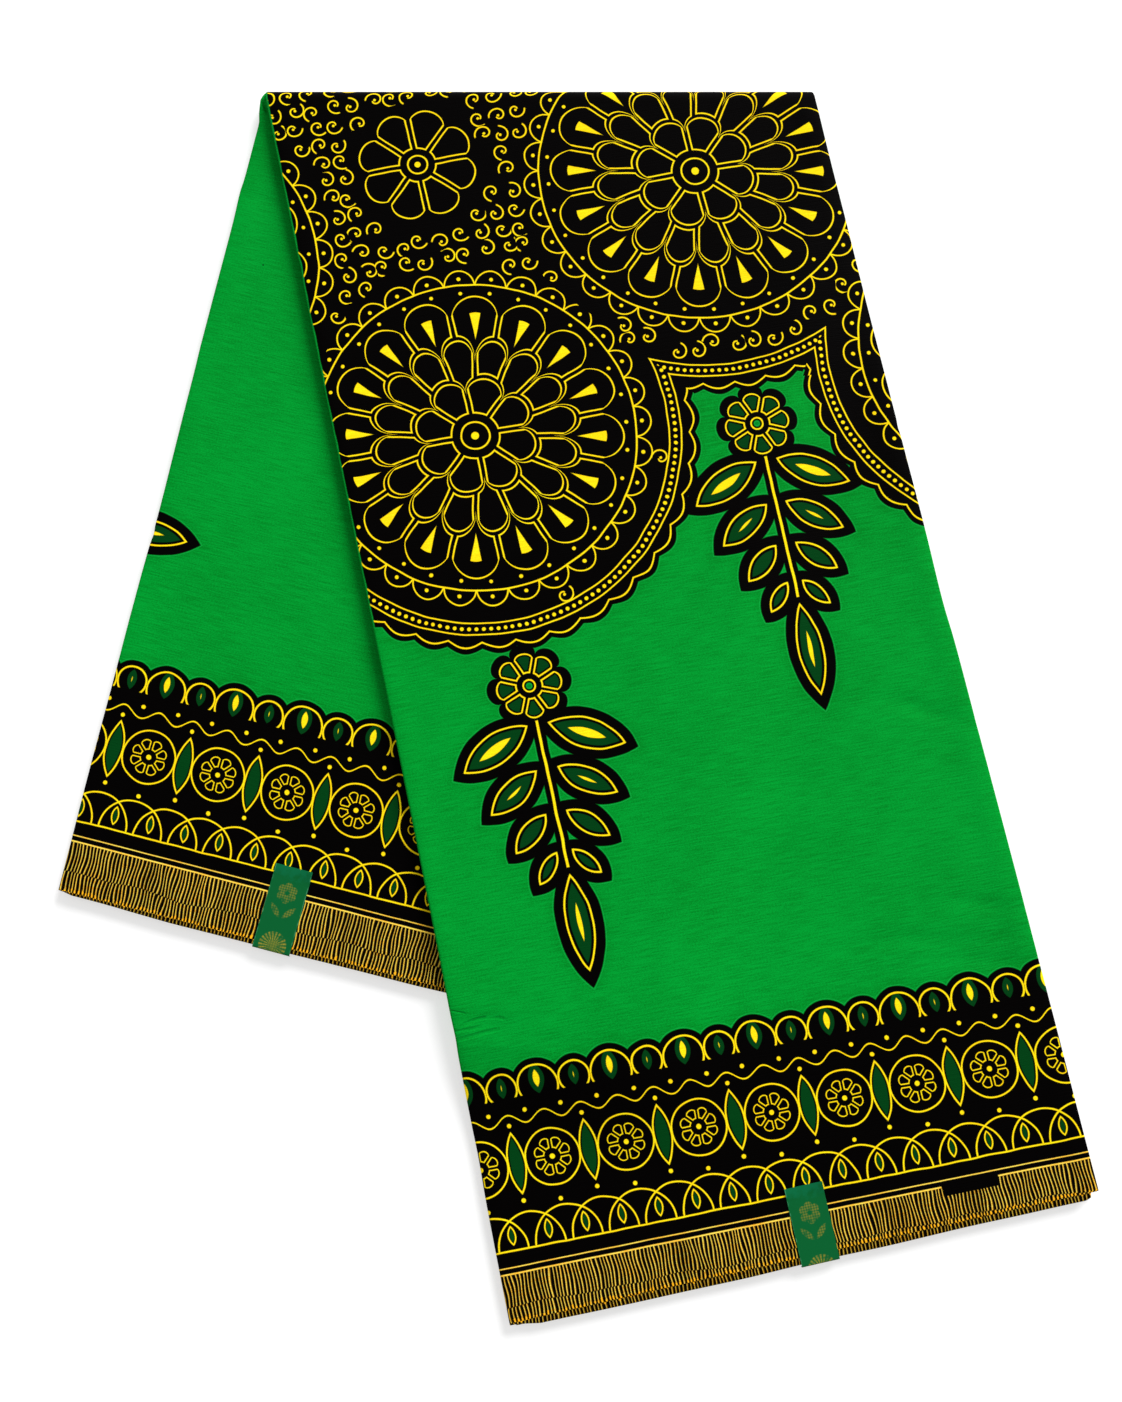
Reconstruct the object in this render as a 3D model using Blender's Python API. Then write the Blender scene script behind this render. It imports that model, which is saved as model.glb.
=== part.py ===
# A cut of wax print cotton, folded flat into a strip of many plies and turned over once on a slant.
# Metres, +Z up. The back stretch lies on the surface, and the front stretch turns over at the top
# and lies on it. Both run from the turn towards -Y, fanned apart, with the selvedges as their hems.

import math

import bmesh
import bpy
from mathutils import Vector

# The strip of plies. A lean is how far a stretch runs from square to the turn, to the right if it
# is positive, and a hem's skew is how far the hem is from square to its own strip.
STRIP_WIDTH = 0.3105
LEAN = dict(front=math.radians(12.1), back=math.radians(-11.8))
LEFT_EDGE = dict(front=0.6920, back=0.4665)
HEM_SKEW = dict(front=math.radians(0.0), back=math.radians(2.3))

# The stack of plies, pressed flat at the hems and a little fuller where it turns.
HEM_STACK = 0.0060
TURN_STACK = 0.0066
FULLNESS_REACH = 0.090
SEAM_GAP = 0.0003
SLIT = 0.0004

# The front stretch lies level on the back one, and sinks to the surface beyond its edges.
LEVEL_MARGIN = 0.010
SINK_REACH = 0.056

# The leaves that show at the edges, from the strip's inner face to its outer one: the share of the
# stack's thickness that each takes, and how far its left, right and hem edges stand back.
LEAVES = (
    dict(share=0.17, left=0.0010, right=0.0012, hem=0.0020),
    dict(share=0.15, left=0.0006, right=0.0030, hem=0.0034),
    dict(share=0.17, left=0.0002, right=0.0020, hem=0.0000),
    dict(share=0.18, left=0.0000, right=0.0000, hem=0.0024),
    dict(share=0.15, left=0.0004, right=0.0010, hem=0.0000),
    dict(share=0.18, left=0.0008, right=0.0004, hem=0.0021),
)
GROOVE_DEPTH = 0.0008
LEAF_ROUND = 0.25
EDGE_WAVER = 0.0006
WAVER_LENGTH = 0.170
WAVER_TURN = 1.9

# The paper labels, stuck on near a hem and folded down over it. "across" is the place of a label's
# left edge on its strip, and "turned" is how far it is turned from the strip's own direction.
LABELS = (
    dict(name="front_label", stretch="front", across=0.1523, width=0.0200, length=0.0390, turned=0.0),
    dict(name="back_label", stretch="back", across=0.1086, width=0.0205, length=0.0448, turned=-2.8),
)
LABEL_PAPER = 0.0004
LABEL_BEND = 0.0008
LABEL_LIP = 0.0028

# How finely the solids are divided.
COLUMNS = 12
EDGE_COLUMN = 0.007
STATIONS = dict(front=28, back=15)
TURN_STATIONS = 10
LABEL_COLUMNS = 4
LABEL_ROWS = 6
BEND_ROWS = 4

# Colours, as linear values.
CLOTH_GREEN = (0.004, 0.305, 0.029, 1.0)
LABEL_GREEN = (0.006, 0.050, 0.018, 1.0)

TURN_LINE = STRIP_WIDTH / math.cos(LEAN["front"])
TURN_AXIS_HEIGHT = TURN_STACK + SLIT / 2
TURN_DRIFT = math.pi * TURN_STACK / 2 * math.tan(LEAN["front"])


def clear_scene():
    for obj in list(bpy.data.objects):
        bpy.data.objects.remove(obj, do_unlink=True)


def smooth_fall(distance, reach):
    """1 up to a distance of 0, then an even fall to 0 at the reach."""
    part = min(max(distance / reach, 0.0), 1.0)
    return 1.0 - part * part * (3.0 - 2.0 * part)


def stack_height(run):
    """The stack's thickness at this distance down from the turn."""
    return HEM_STACK + (TURN_STACK - HEM_STACK) * math.exp(-run / FULLNESS_REACH)


def hem_run(stretch, across):
    """How far down from the turn the hem lies, at this place along the turn's line."""
    lean = LEAN[stretch]
    left = LEFT_EDGE[stretch]
    right = left + STRIP_WIDTH * (math.tan(HEM_SKEW[stretch]) - math.tan(lean))
    part = across / TURN_LINE
    return (left + (right - left) * part) * math.cos(lean)


def strip_x(stretch, across, run):
    drift = TURN_DRIFT if stretch == "back" else 0.0
    return across - drift + run * math.tan(LEAN[stretch])


def distance_past_back(x, run):
    """How far a point lies outside the back stretch, past its hem or its right edge."""
    lean = LEAN["back"]
    across = x - strip_x("back", 0.0, run)
    past_right = max((across - TURN_LINE) * math.cos(lean), 0.0)
    past_hem = max((run - hem_run("back", across)) * math.cos(lean), 0.0)
    return math.hypot(past_right, past_hem)


def front_rest(x, run):
    """The height of the front stretch's underside."""
    past = distance_past_back(x, run) - LEVEL_MARGIN
    return (stack_height(run) + SLIT) * smooth_fall(past, SINK_REACH)


def leaf_levels():
    """The heights in the stack, from 0 to 1, where the edge's outline bends, with each one's leaf
    and groove depth."""
    levels = []
    low = 0.0
    for number, leaf in enumerate(LEAVES):
        high = low + leaf["share"]
        rounding = leaf["share"] * LEAF_ROUND
        levels.append((low, number, GROOVE_DEPTH))
        levels.append((low + rounding, number, 0.0))
        levels.append((high - rounding, number, 0.0))
        low = high
    levels.append((1.0, len(LEAVES) - 1, GROOVE_DEPTH))
    return levels


def set_back(edge, level, run):
    """How far in from its edge a point of the stack's side lies."""
    _, number, groove = level
    wave = math.sin(2 * math.pi * run / WAVER_LENGTH + WAVER_TURN * number)
    waver = EDGE_WAVER * (0.5 + 0.5 * wave)
    depth = LEAVES[number][edge]
    if groove and number:
        depth = max(depth, LEAVES[number - 1][edge])
    return depth + groove + waver


def column_places():
    """The columns' places along the turn's line, with a narrow one inside each edge."""
    inner = TURN_LINE - 2 * EDGE_COLUMN
    between = [EDGE_COLUMN + inner * step / (COLUMNS - 2) for step in range(COLUMNS - 1)]
    return [0.0] + between + [TURN_LINE]


def stretch_point(stretch, column, level, station):
    """A point of a stretch, at this column, level of the stack and station from the hem."""
    across = column_places()[column]
    flat_stations = STATIONS[stretch]
    part = 1.0 - min(station, flat_stations) / flat_stations
    run = hem_run(stretch, across) * part
    if stretch == "back":
        run = max(run, SEAM_GAP)
    if column == 0:
        across += set_back("left", level, run)
    if column == COLUMNS:
        across -= set_back("right", level, run)
    if station == 0:
        run -= set_back("hem", level, across)
    height = level[0]
    if stretch == "back":
        return Vector((strip_x(stretch, across, run), -run, stack_height(run) * (1.0 - height)))
    angle = math.pi * max(station - flat_stations, 0) / TURN_STATIONS
    radius = SLIT / 2 + height * TURN_STACK
    if angle == 0.0:
        x = strip_x(stretch, across, run)
        return Vector((x, -run, front_rest(x, run) + height * stack_height(run)))
    x = across - TURN_DRIFT * angle / math.pi
    return Vector((x, radius * math.sin(angle), TURN_AXIS_HEIGHT + radius * math.cos(angle)))


def block_mesh(name, columns, levels, stations, place):
    """A closed block, shaped by a function that places the points of its three-way grid."""
    numbers = {}
    points = []
    faces = []

    def point(*key):
        if key not in numbers:
            numbers[key] = len(points)
            points.append(place(*key))
        return numbers[key]

    def side(first, second, corner):
        for a in range(first):
            for b in range(second):
                ends = ((a, b), (a + 1, b), (a + 1, b + 1), (a, b + 1))
                faces.append([point(*corner(*end)) for end in ends])

    side(columns, stations, lambda a, b: (a, levels, b))
    side(columns, stations, lambda a, b: (a, 0, b))
    side(levels, stations, lambda a, b: (0, a, b))
    side(levels, stations, lambda a, b: (columns, a, b))
    side(columns, levels, lambda a, b: (a, b, 0))
    side(columns, levels, lambda a, b: (a, b, stations))
    mesh = bpy.data.meshes.new(name)
    mesh.from_pydata(points, [], faces)
    shaping = bmesh.new()
    shaping.from_mesh(mesh)
    bmesh.ops.recalc_face_normals(shaping, faces=shaping.faces)
    shaping.to_mesh(mesh)
    shaping.free()
    return mesh


def material(name, colour, roughness):
    made = bpy.data.materials.new(name)
    made.use_nodes = True
    surface = made.node_tree.nodes["Principled BSDF"]
    surface.inputs["Base Color"].default_value = colour
    surface.inputs["Roughness"].default_value = roughness
    surface.inputs["Metallic"].default_value = 0.0
    return made


def add_object(mesh, surface):
    mesh.materials.append(surface)
    mesh.shade_smooth()
    mesh.set_sharp_from_angle(angle=math.radians(35))
    obj = bpy.data.objects.new(mesh.name, mesh)
    bpy.context.scene.collection.objects.link(obj)
    return obj


def make_stretch(stretch, surface):
    levels = leaf_levels()
    stations = STATIONS[stretch] + (TURN_STATIONS if stretch == "front" else 0)

    def place(column, level, station):
        return stretch_point(stretch, column, levels[level], station)

    mesh = block_mesh(stretch + "_stretch", COLUMNS, len(levels) - 1, stations, place)
    return add_object(mesh, surface)


def top_height(stretch, x, run):
    if stretch == "back":
        return stack_height(run)
    return front_rest(x, run) + stack_height(run)


def label_profile(length):
    """A label's way down to the hem and over it: how far along it lies, how far below the flat, and
    the direction of its paper's thickness, as along and up."""
    flat = length - LABEL_BEND
    rows = [(flat * row / LABEL_ROWS, 0.0, 0.0, 1.0) for row in range(LABEL_ROWS + 1)]
    for row in range(1, BEND_ROWS + 1):
        angle = math.pi / 2 * row / BEND_ROWS
        forward = math.sin(angle)
        upward = math.cos(angle)
        rows.append((flat + LABEL_BEND * forward, LABEL_BEND * (1.0 - upward), forward, upward))
    rows.append((length, LABEL_BEND + LABEL_LIP, 1.0, 0.0))
    return rows


def make_label(label, surface):
    stretch = label["stretch"]
    lean = LEAN[stretch]
    turned = lean + math.radians(label["turned"])
    down = Vector((math.sin(turned), -math.cos(turned)))
    sideways = Vector((math.cos(turned), math.sin(turned)))
    start = label["across"] / math.cos(lean)
    run = hem_run(stretch, start)
    corner = Vector((strip_x(stretch, start, run), -run))
    rows = label_profile(label["length"])

    def place(column, level, row):
        along, sunk, forward, upward = rows[row]
        middle = corner + sideways * (label["width"] * column / LABEL_COLUMNS)
        reach = along - label["length"] + SEAM_GAP
        flat = middle + down * min(reach, SEAM_GAP - LABEL_BEND)
        spot = middle + down * (reach + level * LABEL_PAPER * forward)
        height = top_height(stretch, flat.x, -flat.y) + SEAM_GAP - sunk
        return Vector((spot.x, spot.y, height + level * LABEL_PAPER * upward))

    mesh = block_mesh(label["name"], LABEL_COLUMNS, 1, len(rows) - 1, place)
    return add_object(mesh, surface)


def centre_on_origin(objects):
    """Puts the origin under the middle of the whole part's box."""
    points = [vertex.co for obj in objects for vertex in obj.data.vertices]
    middle_x = (min(point.x for point in points) + max(point.x for point in points)) / 2
    middle_y = (min(point.y for point in points) + max(point.y for point in points)) / 2
    for point in points:
        point.x -= middle_x
        point.y -= middle_y


clear_scene()
cotton = material("wax print cotton", CLOTH_GREEN, 0.75)
paper = material("label paper", LABEL_GREEN, 0.45)
parts = [make_stretch("back", cotton), make_stretch("front", cotton)]
parts += [make_label(label, paper) for label in LABELS]
centre_on_origin(parts)
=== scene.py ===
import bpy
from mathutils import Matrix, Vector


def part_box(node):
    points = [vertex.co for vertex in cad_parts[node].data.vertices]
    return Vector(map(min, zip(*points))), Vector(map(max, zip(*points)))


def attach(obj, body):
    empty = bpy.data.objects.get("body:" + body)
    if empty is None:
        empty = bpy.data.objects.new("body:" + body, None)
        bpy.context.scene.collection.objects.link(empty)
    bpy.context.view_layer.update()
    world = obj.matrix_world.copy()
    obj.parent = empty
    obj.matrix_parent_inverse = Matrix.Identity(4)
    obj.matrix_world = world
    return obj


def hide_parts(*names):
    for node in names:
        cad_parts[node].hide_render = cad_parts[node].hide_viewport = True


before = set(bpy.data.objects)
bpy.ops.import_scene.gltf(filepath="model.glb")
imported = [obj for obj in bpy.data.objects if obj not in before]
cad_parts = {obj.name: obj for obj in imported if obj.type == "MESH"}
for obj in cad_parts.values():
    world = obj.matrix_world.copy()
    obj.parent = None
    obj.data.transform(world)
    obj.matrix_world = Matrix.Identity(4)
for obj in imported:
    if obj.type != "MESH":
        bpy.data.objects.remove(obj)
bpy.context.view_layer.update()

# A cut of wax print cotton, folded flat into a strip of plies and laid over once on a slant.
# Sizes are in metres, and the print's own sizes are in millimetres on the cloth.

import ast
import math
import operator
from functools import reduce
from textwrap import dedent
from types import SimpleNamespace

import bmesh
import bpy
from mathutils import Vector, noise

# The strip and its two stretches, as the frame's solids have them.
STRIP_WIDTH = 0.3105
LEAN = dict(front=math.radians(12.1), back=math.radians(-11.8))
LEFT_EDGE = dict(front=0.6920, back=0.4665)
HEM_SKEW = dict(front=math.radians(0.0), back=math.radians(2.3))
HEM_STACK = 0.0060
TURN_STACK = 0.0066
FULLNESS_REACH = 0.090
SLIT = 0.0004
LEVEL_MARGIN = 0.010
SINK_REACH = 0.056
TURN_LINE = STRIP_WIDTH / math.cos(LEAN["front"])
TURN_RADIUS = TURN_STACK + SLIT / 2
TURN_DRIFT = math.pi * TURN_STACK / 2 * math.tan(LEAN["front"])

# Where the turn's line starts. The solid's widest leaf stands in from the outline by its waver.
FRONT_LOW, FRONT_HIGH = (Vector(corner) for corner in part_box("front_stretch"))
OUTLINE_INSET = 0.0001
TURN_LEFT = Vector((FRONT_LOW.x + TURN_DRIFT - OUTLINE_INSET, FRONT_HIGH.y - TURN_RADIUS))

# The top ply of each stretch: a thin sheet, rolled over at both long edges, where it is folded,
# and with its own selvedge a little short of the other plies at the hem, but less so at the front's
# left corner.
PLY = 0.00035
ROLL = dict(front=(0.00125, 0.00095), back=(0.00100, 0.00110))
ROLL_END = math.radians(160)
HEM_SHORT = dict(front=0.0018, back=0.0014)
HEM_WAVER = 0.0005
HEM_WAVER_LENGTH = 0.030
CORNER_REACH = dict(front=0.0012, back=0.0)
CORNER_START = 0.004
CORNER_WIDTH = 0.008
PLY_GRID = 0.0026
ROLL_STEPS = 7
TURN_STEPS = 18

# The top plies' map for the export's bake. Each strip's start and width are parts of the map's
# width: for the outer face, for the hidden inner face, and for the rim's columns of cells.
BAKE_OUTER = (0.0, 0.90)
BAKE_INNER = (0.91, 0.04)
BAKE_RIM = (0.96, 0.008)
BAKE_RIM_COLUMNS = 4
BAKE_RIM_STEP = 0.010
BAKE_CELL_FILL = 0.8
BAKE_MARGIN = 0.002

# How far the second ply reaches past the strip's own hem, at parts of the way from left to right.
SECOND_PLY = dict(
    front=(
        (0.0, -0.0004), (0.024, 0.0010), (0.037, 0.0021), (0.05, 0.0026), (0.4, 0.0032), (0.5, 0.0028),
        (0.83, 0.0027), (1.0, 0.0026),
    ),
    back=((0.0, 0.0006), (0.1, 0.0010), (0.2, 0.0017), (0.5, 0.0018), (0.7, 0.0012), (1.0, 0.0010)),
)
SECOND_PLY_CORNER = 0.0015

# The plies under the top one, as leaves that show at the edges, from the top down: each leaf's
# share of the thickness, and how far its left, right and hem edges stand back.
LEAVES = (
    dict(share=0.09, left=0.0008, right=0.0012, hem=0.0004),
    dict(share=0.10, left=0.0014, right=0.0004, hem=0.0021),
    dict(share=0.12, left=0.0002, right=0.0016, hem=0.0009),
    dict(share=0.11, left=0.0007, right=0.0019, hem=0.0026),
    dict(share=0.13, left=0.0001, right=0.0001, hem=0.0005),
    dict(share=0.10, left=0.0009, right=0.0014, hem=0.0017),
    dict(share=0.13, left=0.0002, right=0.0027, hem=0.0008),
    dict(share=0.11, left=0.0012, right=0.0009, hem=0.0030),
    dict(share=0.11, left=0.0005, right=0.0004, hem=0.0012),
)

# A leaf's rounded edge, at parts of its thickness: how far back it is there, as parts of the groove
# between two leaves. Inside the top ply's roll, the leaves keep further in. Each leaf wavers in its
# own way along its edges, and shows its own part of the print.
LEAF_PROFILE = ((0.0, 1.0), (0.18, 0.35), (0.5, 0.0), (0.82, 0.35))
GROOVE = 0.0009
INSIDE_ROLL = 0.0034
WAVER = 0.0005
WAVER_LENGTH = 0.045
WAVER_STEP = 7.3
LEAF_SHIFT = 0.012
STACK_COLUMNS = 40
STACK_GRID = 0.0060

# Where the strip's long edges bulge out or in, as folds by hand do: the place along the edge, how
# far out, and how far the bulge reaches towards the turn and towards the hem.
BULGES = (
    dict(ply="back", side="left", along=0.056, out=0.0006, above=0.006, below=0.012),
    dict(ply="back", side="left", along=0.150, out=0.0003, above=0.090, below=0.012),
    dict(ply="back", side="left", along=0.250, out=-0.0007, above=0.050, below=0.030),
    dict(ply="back", side="left", along=0.264, out=-0.0006, above=0.003, below=0.004),
    dict(ply="back", side="left", along=0.400, out=0.0003, above=0.040, below=0.030),
    dict(ply="front", side="left", along=0.490, out=-0.0018, above=0.300, below=0.110),
    dict(ply="front", side="left", along=0.105, out=-0.0005, above=0.004, below=0.008),
    dict(ply="front", side="left", along=0.545, out=-0.0004, above=0.008, below=0.006),
    dict(ply="front", side="left", along=0.608, out=-0.0004, above=0.014, below=0.014),
    dict(ply="front", side="right", along=0.300, out=0.0012, above=0.600, below=0.600),
    dict(ply="front", side="right", along=0.038, out=-0.0006, above=0.030, below=0.035),
    dict(ply="front", side="right", along=0.140, out=0.0003, above=0.040, below=0.040),
    dict(ply="front", side="right", along=0.201, out=-0.0004, above=0.003, below=0.003),
    dict(ply="front", side="right", along=0.304, out=-0.0008, above=0.030, below=0.016),
    dict(ply="front", side="right", along=0.500, out=0.0003, above=0.100, below=0.080),
)
BULGE_DEPTH = 0.040

# Creases of the top plies, and two long soft ridges: where each one's middle lies across and along
# its strip, from the left edge and the turn, its length, heading, half width and height. Each bends
# a little to both sides, by a part of its length.
CREASES = (
    dict(ply="front", across=0.014, along=0.538, length=0.060, heading=8, width=0.0040, height=-0.00050),
    dict(ply="front", across=0.030, along=0.549, length=0.085, heading=14, width=0.0050, height=-0.00038),
    dict(ply="front", across=0.020, along=0.560, length=0.050, heading=-4, width=0.0035, height=-0.00028),
    dict(ply="front", across=0.287, along=0.428, length=0.060, heading=20, width=0.0052, height=-0.00060),
    dict(ply="front", across=0.283, along=0.564, length=0.070, heading=6, width=0.0050, height=-0.00070),
    dict(ply="front", across=0.262, along=0.549, length=0.080, heading=4, width=0.0046, height=-0.00060),
    dict(ply="front", across=0.292, along=0.536, length=0.044, heading=12, width=0.0036, height=-0.00045),
    dict(ply="front", across=0.006, along=0.018, length=0.030, heading=55, width=0.0030, height=-0.00045),
    dict(ply="front", across=0.190, along=0.470, length=0.160, heading=-6, width=0.0120, height=0.00030),
    dict(ply="front", across=0.110, along=0.300, length=0.200, heading=4, width=0.0140, height=0.00028),
    dict(ply="back", across=0.060, along=0.300, length=0.110, heading=-5, width=0.0090, height=-0.00030),
    dict(ply="back", across=0.028, along=0.388, length=0.060, heading=9, width=0.0050, height=-0.00026),
    dict(ply="back", across=0.014, along=0.058, length=0.030, heading=-12, width=0.0040, height=-0.00040),
)
CREASE_BEND = 0.05
CREASE_WAVE = 4.0

# Sharp pressed creases in the open ground near the front's left edge, in millimetres on the print:
# their middles, slopes, curves, half lengths and half widths.
SHARP_CREASES = (
    dict(cx=16.0, cy=156.1, slope=0.0, curve=0.016, reach=14.0, width=1.3),
    dict(cx=6.5, cy=152.0, slope=0.0, curve=0.0, reach=9.0, width=1.1),
    dict(cx=12.0, cy=148.4, slope=0.05, curve=0.0, reach=13.0, width=1.4),
    dict(cx=4.0, cy=161.9, slope=-0.4, curve=0.0, reach=4.5, width=0.8),
)

# Soft swellings all over the top plies, with finer ones on them, and a low one along each long edge.
# They and the creases fade out at the turn, and where the back goes under the front.
SWELL_HEIGHT = 0.00035
SWELL_SIZE = 0.060
SWELL_STRETCH = 1.5
FINE_SWELL = 0.4
FINE_SWELL_SCALE = 2.7
EDGE_SWELL = 0.00040
EDGE_SWELL_WIDTH = 0.0060
RELIEF_FADE = 0.009

# The pleat that stands out at the turn's left end. Each row is how far down from the turn's line it
# is, how far to the right of the line's left end the pleat's outer edge is, and its height there.
PLEAT = (
    (-0.0076, -0.0012, 0.0066),
    (-0.0066, -0.0019, 0.0074),
    (-0.0046, -0.0029, 0.0082),
    (-0.0020, -0.0040, 0.0086),
    (0.0021, -0.0043, 0.0086),
    (0.0064, -0.0045, 0.0084),
    (0.0113, -0.0044, 0.0078),
    (0.0160, -0.0053, 0.0070),
    (0.0220, -0.0064, 0.0060),
)
PLEAT_ROWS = 30
PLEAT_COLUMNS = 10
PLEAT_ROLL = 0.0009
PLEAT_ROLL_END = math.radians(165)
PLEAT_TUCK = 0.0028
PLEAT_LEAST_WIDTH = 0.0004
PLEAT_FOOT = 0.004
PLEAT_FOOT_REACH = 0.007
PLEAT_PRINT = (0.1, 0.8, 0.1)
PLEAT_CREASE = ((-0.0029, -0.0006), (0.0008, 0.0058))
PLEAT_CREASE_DEPTH = 0.0020
PLEAT_CREASE_WIDTH = 0.0010

# The whole cloth: from selvedge to selvedge, with where the print lies on each stretch: how far the
# print's own start is cut off at the hem's left and right end, and how far it is shifted across.
# The back's upper face is plain near the turn, where its own ply's print has no motif. The plies
# below show no more of the print than its border, and are plain from there on.
CLOTH_ACROSS = 1.170
PRINT_START = dict(front=(0.0033, 0.0097), back=(0.0, 0.0013))
PRINT_SHIFT = dict(front=0.0, back=0.050)
SELVEDGE_DEPTH = 0.034
BORDER_TOP = 0.141
PLAIN_ROW = 0.152
BACK_PLAIN_TO = 0.775

# The paper labels, stuck on near the hems and folded down over them.
LABELS = (
    dict(
        name="front_label", stretch="front", across=0.1523, width=0.0200, length=0.0396, turned=0.0,
        past=0.0032,
    ),
    dict(
        name="back_label", stretch="back", across=0.1086, width=0.0205, length=0.0457, turned=-2.8,
        past=0.0021,
    ),
)
LABEL_PAPER = 0.00018
LABEL_CLEARANCE = 0.00025
LABEL_BEND = 0.0009
LABEL_LIP = 0.0030
LABEL_COLUMNS = 14
LABEL_ROWS = 26
BEND_STEPS = 6
LABEL_LEVEL_END = 0.004

# A label's upper end is lifted, least near its middle and most at its corners.
LIFTED_END = 0.0005
LIFTED_LENGTH = 0.007
LIFTED_LEAST = 0.3
LIFTED_LEAST_PLACE = 0.4
LIFTED_CORNERS = 5.6

# The labels' own print, in millimetres from the middle of their upper end: a stippled flower over a
# pair of leaves, and a fan of rays at the hem.
LABEL_MIDDLE = 10.2
LABEL_DOT_SPACING = 1.3
LABEL_FLOWER = (dict(petals=6, turned=0.0, notch=3.4, tip=5.6),)
LABEL_FLOWER_EYE = 1.2
LABEL_FLOWER_ROW = 14.0
LABEL_LEAF = dict(x=3.8, y=24.0, length=4.4, width=1.5, heading=-48)
LABEL_FAN = dict(radius=7.4, foot=42.5)

# The camera, as fitted to the photo's edges: 10 degrees off straight above.
CAMERA_PLACE = (-0.0043, -0.1688, 0.8611)
CAMERA_TILT = math.radians(10.0)
LENS = 40.93
SENSOR = 36.0

# The studio: a white light table, whose own glow keeps the shadows on it faint, under an even white
# surround and one soft light from the upper right.
TABLE_SIZE = 8.0
TABLE_DROP = 0.0002
TABLE_COLOUR = "#C4C4C4"
TABLE_FINISH = {
    "Roughness": 0.9, "Specular IOR Level": 0.0, "Emission Color": (1.0, 1.0, 1.0, 1.0),
    "Emission Strength": 0.54,
}
SURROUND_LIGHT = 0.50
LAMP_STRENGTH = 4.45
LAMP_SOFTNESS = math.radians(34)
LAMP_DIRECTION = Vector((-0.95, -1.52, -1.0))


def smooth_fall(distance, reach):
    """1 up to a distance of 0, then an even fall to 0 at the reach."""
    part = min(max(distance / reach, 0.0), 1.0)
    return 1.0 - part * part * (3.0 - 2.0 * part)


def stack_height(run):
    return HEM_STACK + (TURN_STACK - HEM_STACK) * math.exp(-max(run, 0.0) / FULLNESS_REACH)


def hem_run(stretch, across):
    """How far down from the turn the hem lies, at this place along the turn's line."""
    lean = LEAN[stretch]
    left = LEFT_EDGE[stretch]
    right = left + STRIP_WIDTH * (math.tan(HEM_SKEW[stretch]) - math.tan(lean))
    part = across / TURN_LINE
    return (left + (right - left) * part) * math.cos(lean)


def strip_x(stretch, across, run):
    drift = TURN_DRIFT if stretch == "back" else 0.0
    return across - drift + run * math.tan(LEAN[stretch])


def distance_past_back(x, run):
    """How far a point lies outside the back stretch, past its hem or its right edge."""
    lean = LEAN["back"]
    across = x - strip_x("back", 0.0, run)
    past_right = max((across - TURN_LINE) * math.cos(lean), 0.0)
    past_hem = max((run - hem_run("back", across)) * math.cos(lean), 0.0)
    return math.hypot(past_right, past_hem)


def underside(stretch, x, run):
    """The height that a stretch rests at."""
    if stretch == "back":
        return 0.0
    past = distance_past_back(x, run) - LEVEL_MARGIN
    return (stack_height(run) + SLIT) * smooth_fall(past, SINK_REACH)


def strip_place(stretch, x, run):
    """A point's place on the unfolded strip: across it, and along it from the turn's left end."""
    lean = LEAN[stretch]
    return x * math.cos(lean) - run * math.sin(lean), x * math.sin(lean) + run * math.cos(lean)


def cloth_place(stretch, x, run):
    """A point's place on the print, across and along the cloth, and how far it is from the hem."""
    across, along = strip_place(stretch, x, run)
    from_hem = LEFT_EDGE[stretch] + across * math.tan(HEM_SKEW[stretch]) - HEM_SHORT[stretch] - along
    left, right = PRINT_START[stretch]
    up = from_hem + left + (right - left) * across / STRIP_WIDTH
    return across + PRINT_SHIFT[stretch], up if stretch == "front" else CLOTH_ACROSS - up, from_hem


def crease_height(crease, across, along):
    heading = math.radians(crease["heading"])
    right = across - crease["across"]
    down = along - crease["along"]
    lengthwise = right * math.cos(heading) + down * math.sin(heading)
    sideways = down * math.cos(heading) - right * math.sin(heading)
    bend = CREASE_BEND * crease["length"] * math.sin(CREASE_WAVE * lengthwise / crease["length"])
    nearness = (sideways - bend) / crease["width"]
    reach = 2.0 * lengthwise / crease["length"]
    return crease["height"] * math.exp(-nearness * nearness - reach * reach)


def relief(stretch, x, run):
    """How far the top ply stands above or below its even height."""
    across, along = strip_place(stretch, x, run)
    place = Vector((across / SWELL_SIZE, along / SWELL_SIZE / SWELL_STRETCH, len(stretch)))
    height = SWELL_HEIGHT * (noise.noise(place) + FINE_SWELL * noise.noise(place * FINE_SWELL_SCALE))
    for edge in (across, STRIP_WIDTH - across):
        height += EDGE_SWELL * math.exp(-((edge - EDGE_SWELL_WIDTH) / EDGE_SWELL_WIDTH) ** 2)
    for crease in CREASES:
        if crease["ply"] == stretch:
            height += crease_height(crease, across, along)
    if stretch == "front":
        return height * (1.0 - smooth_fall(run, RELIEF_FADE))
    return height * (1.0 - smooth_fall(strip_x("front", 0.0, run) - x, RELIEF_FADE))


def edge_shift(stretch, across, along):
    """How far the bulges of the strip's edges move a point to the right."""
    shift = 0.0
    for bulge in BULGES:
        if bulge["ply"] != stretch:
            continue
        outward, inside = (-1.0, across) if bulge["side"] == "left" else (1.0, TURN_LINE - across)
        reach = bulge["above"] if along < bulge["along"] else bulge["below"]
        nearness = math.exp(-(((along - bulge["along"]) / reach) ** 2))
        shift += outward * bulge["out"] * nearness * smooth_fall(inside, BULGE_DEPTH)
    return shift


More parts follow.
